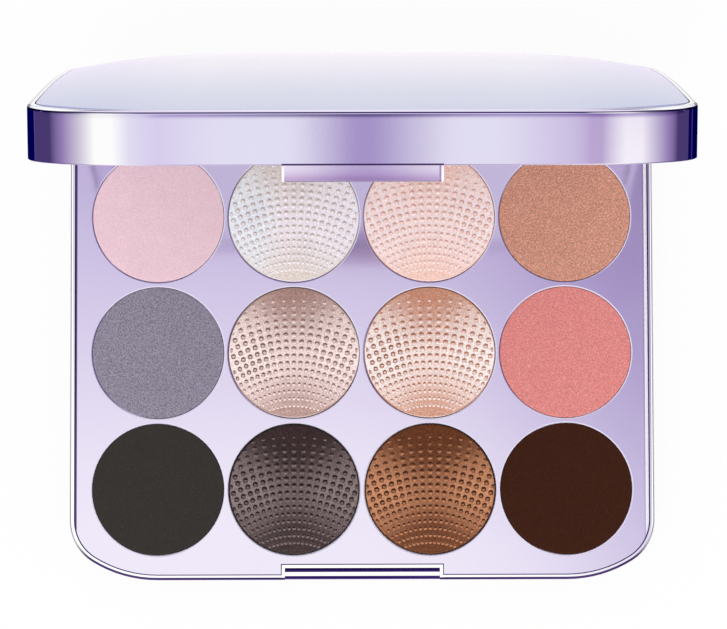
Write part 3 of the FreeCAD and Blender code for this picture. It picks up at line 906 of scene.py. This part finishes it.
def plainFinish(name, s):
    material, tree, shader = newMaterial(name)
    colour, breath = unevenBase(tree, s)
    feedAll(tree, shader, Base_Color=colour, Metallic=s["metal"], Roughness=breath["Roughness"])
    return material


finishes = {name: lavender(name, {**lavenderPlain, **s}) for name, s in lavenderFinishes.items()}
finishes.update({name: plainFinish(name, {**plainLook, **s}) for name, s in plainFinishes.items()})
for name, values in powderFinishes.items():
    finishes["powder_" + name] = pressedPowder(name, dict(zip(powderKeys, values)), powderGrain)
finishes["pearl"] = pearl(pearlFinish)
slotOf = {part["node"]: part["material_slot"] for part in frame["record"]["subparts"]}
for nodeName, node in nodes.items():
    node.data.materials.clear()
    node.data.materials.append(finishes["latch_lavender" if nodeName == "latch_tab" else slotOf[nodeName]])
print("finishes made:", len(finishes))


# a mesh from whole arrays: corner points and quads
def arrayMesh(name, points, quads, extra=()):
    mesh = bpy.data.meshes.new(name)
    loops = np.concatenate([quads.ravel(), *[np.asarray(face) for face in extra]]).astype(np.int32)
    sizes = np.concatenate([np.full(len(quads), 4), [len(face) for face in extra]]).astype(np.int32)
    starts = np.concatenate([[0], np.cumsum(sizes)[:-1]]).astype(np.int32)
    mesh.vertices.add(len(points))
    mesh.vertices.foreach_set("co", points.astype(np.float32).ravel())
    mesh.loops.add(len(loops))
    mesh.loops.foreach_set("vertex_index", loops)
    mesh.polygons.add(len(sizes))
    mesh.polygons.foreach_set("loop_start", starts)
    mesh.polygons.foreach_set("use_smooth", np.ones(len(sizes), bool))
    mesh.update(calc_edges=True)
    mesh.validate()
    return addObject(name, mesh)


def gridQuads(rows, columns):
    corner = np.arange(rows * columns).reshape(rows, columns)
    a, b, c, d = corner[:-1, :-1], corner[:-1, 1:], corner[1:, 1:], corner[1:, :-1]
    return np.stack([a, b, c, d], -1).reshape(-1, 4)


def patchSolid(name, top, backZ):
    # a grid of points closed by a wall and a flat back
    rows, columns = top.shape[:2]
    index = np.arange(rows * columns).reshape(rows, columns)
    ring = np.concatenate([index[0, :-1], index[:-1, -1], index[-1, :0:-1], index[:0:-1, 0]])
    points = top.reshape(-1, 3)
    below = rows * columns + np.arange(len(ring))
    wall = np.stack([ring, below, np.roll(below, -1), np.roll(ring, -1)], -1)
    quads = np.concatenate([gridQuads(rows, columns), wall])
    back = np.column_stack([points[ring, :2], np.full(len(ring), backZ)])
    return arrayMesh(name, np.concatenate([points, back]), quads, extra=(below[::-1],))


def fitPiece(piece, node, body, slotName, sharpDeg=40.0):
    piece.data.set_sharp_from_angle(angle=math.radians(sharpDeg))
    piece.data.materials.append(finishes[slotName])
    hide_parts(node)
    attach(piece, body)


def smoothStep(value, low, high):
    t = np.clip((value - low) / (high - low), 0.0, 1.0)
    return t * t * (3.0 - 2.0 * t)


# pressed cakes: they fill their pans over the rim; the middle columns are shallow domes with rows of
# round beads that fan out from a point in front of the pan
pressedCake = {
    "beadedCells": 270,                  # grid cells across the pan
    "flatCells": 90,
    "overRim": 0.27 * mm,                # how far the cake reaches over the tin
    "fill": 0.12 * mm,
    "edgeDrop": 0.07 * mm,               # rounding at the edge
    "edgeWidth": 0.45 * mm,
    "fanPoint": 24.5 * mm,               # in front of the pan's middle
    "columnDeg": 3.36,
    "rowStep": 1.40 * mm,
    "beadShare": 0.0172,                 # bead radius as a share of its distance from the fan point
    "beadRange": (0.28 * mm, 0.52 * mm),
    "beadHeight": 0.30 * mm,
    "backShrink": 0.42,                  # how much smaller the beads get towards the back of the pan
    "firstRow": 12.2 * mm,
    "lastRow": 37.6 * mm,
    "fade": 4.5 * mm,
    "bareEdge": (0.7 * mm, 0.3 * mm),    # the beads end this far from the edge
}


def beadRelief(x, y, s):
    # polar grid about the fan point: each bead is a cap, height times the root of (1 - q),
    # where q is the squared distance from the bead's middle over its squared radius
    distance = np.hypot(x, y + s["fanPoint"])
    angle = np.arctan2(x, y + s["fanPoint"])
    columnStep = math.radians(s["columnDeg"])
    fromRow = (distance / s["rowStep"] + 0.5) % 1.0 - 0.5
    fromColumn = (angle / columnStep + 0.5) % 1.0 - 0.5
    small = 1.0 - s["backShrink"] * smoothStep(distance, s["fanPoint"], s["lastRow"])
    radius = np.clip(s["beadShare"] * distance, *s["beadRange"]) * small
    across = fromColumn * columnStep * distance
    q = ((fromRow * s["rowStep"]) ** 2 + across ** 2) / radius ** 2
    bead = np.sqrt(np.clip(1.0 - q, 0.0, 1.0))
    shown = smoothStep(distance, s["firstRow"], s["firstRow"] + s["fade"])
    shown = shown * (1.0 - smoothStep(distance, s["lastRow"] - 2.0 * s["fade"], s["lastRow"]))
    return s["beadHeight"] * small * bead * shown


def makeCake(name, beaded, s):
    low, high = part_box("powder_" + name)
    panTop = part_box("pan_" + name)[1][2]
    middleX, middleY = (low[0] + high[0]) / 2, (low[1] + high[1]) / 2
    radius = (high[0] - low[0]) / 2 + s["overRim"]
    crown = high[2] - panTop
    # square grid drawn into the disc, so that cells stay even: x = u sqrt(1 - v^2 / 2)
    line = np.linspace(-1.0, 1.0, (s["beadedCells"] if beaded else s["flatCells"]) + 1)
    u, v = np.meshgrid(line, line)
    x = radius * u * np.sqrt(1.0 - v * v / 2.0)
    y = radius * v * np.sqrt(1.0 - u * u / 2.0)
    r = np.hypot(x, y)
    dome = crown * (1.0 - (r / radius) ** 2)
    edge = s["edgeDrop"] * np.clip((r - radius + s["edgeWidth"]) / s["edgeWidth"], 0.0, 1.0) ** 3
    z = panTop + s["fill"] + dome - edge
    if beaded:
        inside = 1.0 - smoothStep(r, *[radius - margin for margin in s["bareEdge"]])
        z = z + beadRelief(x, y, s) * inside
    top = np.stack([x + middleX, y + middleY, z], -1)
    piece = patchSolid("cake_" + name, top, low[2])
    fitPiece(piece, "powder_" + name, "base", "powder_" + name, sharpDeg=70.0)


for row in "abc":
    for column in "1234":
        makeCake(row + column, column in "23", pressedCake)
print("pressed cakes made")


# plan of the case: straight front, wide arc, tight arc, straight side, with the bends eased into each other
casePlan = {
    "straight": 40.55 * mm,
    "wideRadius": 24.5 * mm,
    "tightRadius": 9.5 * mm,
    "turnDeg": 58.0,
    "easeWide": 8.5 * mm,
    "easeTight": 2.0 * mm,
    "splits": (19.999 * mm, 20.001 * mm),    # ends of the hinge knuckle
    "samples": 5001,
    "stationDeg": 1.0,                   # a station for each such bend or length
    "stationStep": 2.5 * mm,
}


def eased(heading, count):
    padded = np.concatenate([-heading[count:0:-1], heading, math.pi - heading[-2:-2 - count:-1]])
    kernel = np.ones(count) / count
    return np.convolve(np.convolve(padded, kernel, "same"), kernel, "same")[count:-count]


def quarterPlan(s):
    # heading along a quarter of the plan, averaged twice over the ease, then summed up to points;
    # the long ease runs to the middle of the wide arc, the short one from there
    halfWide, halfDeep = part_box("base_shell")[1][:2]
    turn = math.radians(s["turnDeg"])
    gap = s["wideRadius"] - s["tightRadius"]
    side = halfDeep - s["wideRadius"] + gap * math.sin(turn)
    lengths = (s["straight"], s["wideRadius"] * (math.pi / 2 - turn), s["tightRadius"] * turn, side)
    knots = np.concatenate([[0.0], np.cumsum(lengths)])
    run = np.linspace(0.0, knots[-1], s["samples"])
    heading = np.interp(run, knots, [0.0, 0.0, math.pi / 2 - turn, math.pi / 2, math.pi / 2])
    long, short = (eased(heading, int(s[name] / run[1]) // 2 * 2 + 1) for name in ("easeWide", "easeTight"))
    heading = np.where(run < knots[1] + lengths[1] / 2, long, short)
    middle = (heading[1:] + heading[:-1]) / 2
    x = np.concatenate([[0.0], np.cumsum(np.cos(middle))])
    y = np.concatenate([[0.0], np.cumsum(np.sin(middle))])
    x = x * halfWide / x[-1]
    y = y * halfDeep / y[-1] - halfDeep
    count = heading / math.radians(s["stationDeg"]) + run / s["stationStep"]
    stations = np.interp(np.arange(0.0, count[-1], 1.0), count, run)
    stations = np.unique(np.concatenate([stations, s["splits"], [run[-1]]]))
    return (np.interp(stations, run, values) for values in (x, y, np.sin(heading), -np.cos(heading)))


quarterX, quarterY, quarterOutX, quarterOutY = quarterPlan(casePlan)


def wholePlan(values, flipX, flipY):
    # front middle, right side, back middle, left side
    half = np.concatenate([values, flipY * values[-2::-1]])
    return np.concatenate([half, flipX * half[-2:0:-1]])


planX = wholePlan(quarterX, -1, 1)
planY = wholePlan(quarterY, 1, -1)
planOutX = wholePlan(quarterOutX, -1, 1)
planOutY = wholePlan(quarterOutY, 1, -1)


def opened(points):
    # turns points from the shut lid to the open one
    y = points[..., 1] - lidTurn["y"]
    z = points[..., 2] - lidTurn["z"]
    return np.stack([points[..., 0], lidTurn["y"] + y * turnCos + z * turnSin,
                     lidTurn["z"] - y * turnSin + z * turnCos], -1)


# the lid's frame: one profile carried round the plan; its sides arch a little above its front and back
lidFrame = {
    "low": 8.2 * mm,
    "high": 17.7 * mm,
    "lipRadius": 0.2 * mm,
    "shoulderLength": 1.0 * mm,          # soft bend under the edge
    "shoulderDeg": 4.0,
    "edgeRadius": 0.80 * mm,
    "wall": 1.4 * mm,
    "rim": 1.0 * mm,
    "rimSide": 0.4 * mm,                 # added to the rim at the sides
    "flangeInset": 4.4 * mm,
    "flangeRange": (15.0 * mm, 16.2 * mm),
    "arch": 0.62 * mm,
    "archReach": 46.0 * mm,
    "archFrom": 12.0 * mm,
    "backFall": 0.55 * mm,               # the edge comes down a little towards the hinge
    "fallRange": (-5.0 * mm, 46.0 * mm),
    "spread": 0.15 * mm,                 # how far its sides stand out beyond the base
    "knuckleHalf": 20.0 * mm,
    "barrelRadius": 2.4 * mm,
    "recessRadius": 3.02 * mm,
    "swingHigh": 12.31 * mm,
    "neckBack": 0.7 * mm,                # from the barrel's back to the neck's
    "neckFoot": (0.02 * mm, 0.1 * mm),
    "neckSink": 0.02 * mm,               # the neck ends this far below the flange's top
    "lipBand": 0.3 * mm,
    "nearLip": 0.26 * mm,
    "rimBevel": 0.03 * mm,               # at the rim's inner edge
    "wallGap": 0.05 * mm,
    "lipSteps": 6,
    "shoulderSteps": 12,
    "shoulderPower": 1.7,
    "edgeSteps": 18,
    "wallSteps": 10,
    "barrelSteps": 33,
}


def sideArch(y, s):
    arch = s["arch"] * np.clip(1.0 - (y / s["archReach"]) ** 2, 0.0, 1.0)
    return arch - s["backFall"] * smoothStep(y, *s["fallRange"])


def frameProfile(s):
    # insets and heights, from the lip up the outer wall, over the edge and back down inside
    turn = np.linspace(0.0, math.pi / 2, s["lipSteps"])
    lip = s["lipRadius"] * (1 - np.column_stack([np.sin(turn), np.cos(turn)])) + [0.0, s["low"]]
    share = np.linspace(0.0, 1.0, s["shoulderSteps"] + 1)
    bend = math.radians(s["shoulderDeg"]) * share ** s["shoulderPower"]
    edge = np.linspace(bend[-1], math.pi / 2, s["edgeSteps"] + 1)
    lean = np.concatenate([bend, edge[1:]])
    steps = np.concatenate([np.full(s["shoulderSteps"], s["shoulderLength"] / s["shoulderSteps"]),
                            np.full(s["edgeSteps"], s["edgeRadius"] * (edge[1] - edge[0]))])
    middle = (lean[1:] + lean[:-1]) / 2
    inset = np.concatenate([[0.0], np.cumsum(steps * np.sin(middle))])
    height = np.concatenate([[0.0], np.cumsum(steps * np.cos(middle))])
    top = np.column_stack([inset, height - height[-1] + s["high"]])
    wallHeights = np.linspace(lip[-1, 1] + s["wallGap"], top[0, 1] - s["wallGap"], s["wallSteps"])
    outer = np.column_stack([np.zeros(s["wallSteps"]), wallHeights])
    low, high = s["flangeRange"]
    inner = np.array([
        [s["rim"] - s["rimBevel"], s["high"]],
        [s["rim"], s["high"] - s["rimBevel"]],
        [s["rim"], high],
        [s["flangeInset"], high],
        [s["flangeInset"], low],
        [s["wall"], low],
        [s["wall"], s["low"] + s["lipBand"]],
        [s["wall"], s["low"]],
    ])
    return np.concatenate([lip, outer, top, inner])


def frameLow(x, y, s):
    # lower edge: raised beside the knuckle, to clear the base's barrels while the lid turns
    reach = np.clip(s["recessRadius"] ** 2 - (y - lidTurn["y"]) ** 2, 0.0, None)
    recess = np.where(reach > 0.0, lidTurn["z"] + np.sqrt(reach), s["low"])
    cut = np.where(y > lidTurn["y"], s["swingHigh"], recess)
    return np.where(np.abs(x) > s["knuckleHalf"], np.maximum(cut, s["low"]), s["low"])


def makeLidFrame(s):
    profile = frameProfile(s)
    inset, height = profile[:, 0], profile[:, 1]
    # the rim's inner edge, which is further in at the sides
    onRim = (inset > 0.9 * s["rim"]) & (inset < 1.1 * s["rim"]) & (height > s["flangeRange"][1] - 0.01 * mm)
    x = planX[:, None] - planOutX[:, None] * (inset - s["spread"] + np.where(onRim, s["rimSide"], 0.0))
    y = planY[:, None] - planOutY[:, None] * inset
    low = frameLow(x, y, s)
    nearLip = height < s["low"] + s["nearLip"]
    z = np.where(nearLip, height - s["low"] + low, np.maximum(height, low + s["lipBand"]))
    lifted = np.clip((height - s["archFrom"]) / (s["high"] - s["archFrom"]), 0.0, 1.0)
    z = z + sideArch(planY, s)[:, None] * lifted
    ring = np.stack([x, y, z], -1)
    around, along = ring.shape[:2]
    index = np.arange(around * along).reshape(around, along)
    ahead = np.roll(index, -1, 0)
    ringQuads = np.stack([index, ahead, np.roll(ahead, -1, 1), np.roll(index, -1, 1)], -1).reshape(-1, 4)
    # the knuckle: a barrel with a neck up to the flange
    turn = np.linspace(math.pi, 2 * math.pi, s["barrelSteps"])
    backY = lidTurn["y"] + s["barrelRadius"]
    neckY = backY - s["neckBack"]
    neckTop = s["flangeRange"][1] - s["neckSink"]
    barrelY = np.concatenate([lidTurn["y"] + s["barrelRadius"] * np.cos(turn),
                              [backY, neckY, neckY, backY - 2 * s["barrelRadius"]]])
    barrelZ = np.concatenate([lidTurn["z"] + s["barrelRadius"] * np.sin(turn),
                              [*[s["low"] + step for step in s["neckFoot"]], neckTop, neckTop]])
    count = len(barrelY)
    knuckle = np.concatenate([np.column_stack([np.full(count, end * s["knuckleHalf"]), barrelY, barrelZ])
                              for end in (-1, 1)])
    first = around * along + np.arange(count)
    second = first + count
    knuckleQuads = np.stack([first, np.roll(first, -1), np.roll(second, -1), second], -1)
    points = np.concatenate([ring.reshape(-1, 3), knuckle])
    piece = arrayMesh("polished_lid_frame", opened(points), np.concatenate([ringQuads, knuckleQuads]),
                      extra=(first[::-1], second))
    fitPiece(piece, "lid_frame", "lid", "lid_lavender")


# the pearl plate: a pillow whose rise falls off to each side
lidPlate = {
    "inset": 1.1 * mm,
    "sideSeam": 0.17 * mm,               # seam that shows at the front of the sides
    "seamRange": (-40.0 * mm, -16.0 * mm),
    "low": 16.2 * mm,
    "crown": 5.0 * mm,
    "columns": 141,
    "rowGap": 0.004 * mm,                # rows nearer to the front edge are left out
}


def vertexPlaces(piece):
    places = np.empty(len(piece.data.vertices) * 3, np.float32)
    piece.data.vertices.foreach_get("co", places)
    return places.reshape(-1, 3).astype(float)


def makeLidPlate(s, frameSet):
    # rows run from the front to the back at the heights of the plan's stations, as wide as the plan there
    x = quarterX - quarterOutX * (s["inset"] + frameSet["rimSide"])
    y = quarterY - quarterOutY * s["inset"]
    kept = np.flatnonzero(y > y[0] + s["rowGap"])
    rowY = np.concatenate([[y[0]], y[kept]])
    rowX = np.concatenate([[x[kept[0] - 1]], x[kept]])
    rowY = np.concatenate([rowY, -rowY[-2::-1]])[:, None]
    rowX = np.concatenate([rowX, rowX[-2::-1]])[:, None]
    rowX = rowX + s["sideSeam"] * smoothStep(rowY, *s["seamRange"])
    across = np.sin(np.linspace(-math.pi / 2, math.pi / 2, s["columns"]))[None, :]
    gridX = rowX * across
    gridY = rowY + 0.0 * across
    u = gridX / x[-1]
    v = gridY / y[0]
    # rise: (1 - 0.85 u^4 - 0.15 u^6) (1 - 0.6 v^2 - 0.4 v^4)
    rise = (1.0 - 0.85 * u ** 4 - 0.15 * u ** 6) * (1.0 - 0.6 * v ** 2 - 0.4 * v ** 4)
    # towards its edges it follows the frame's arch
    arch = sideArch(gridY, frameSet) * np.clip(u ** 4 + v ** 8, 0.0, 1.0)
    gridZ = frameSet["high"] + s["crown"] * rise + arch
    top = np.stack([gridX, gridY, gridZ], -1)
    piece = patchSolid("pearl_lid_plate", top, s["low"])
    piece.data.vertices.foreach_set("co", opened(vertexPlaces(piece)).astype(np.float32).ravel())
    piece.data.update()
    fitPiece(piece, "lid_plate", "lid", "pearl")


makeLidFrame(lidFrame)
makeLidPlate(lidPlate, lidFrame)
print("lid frame and plate made")
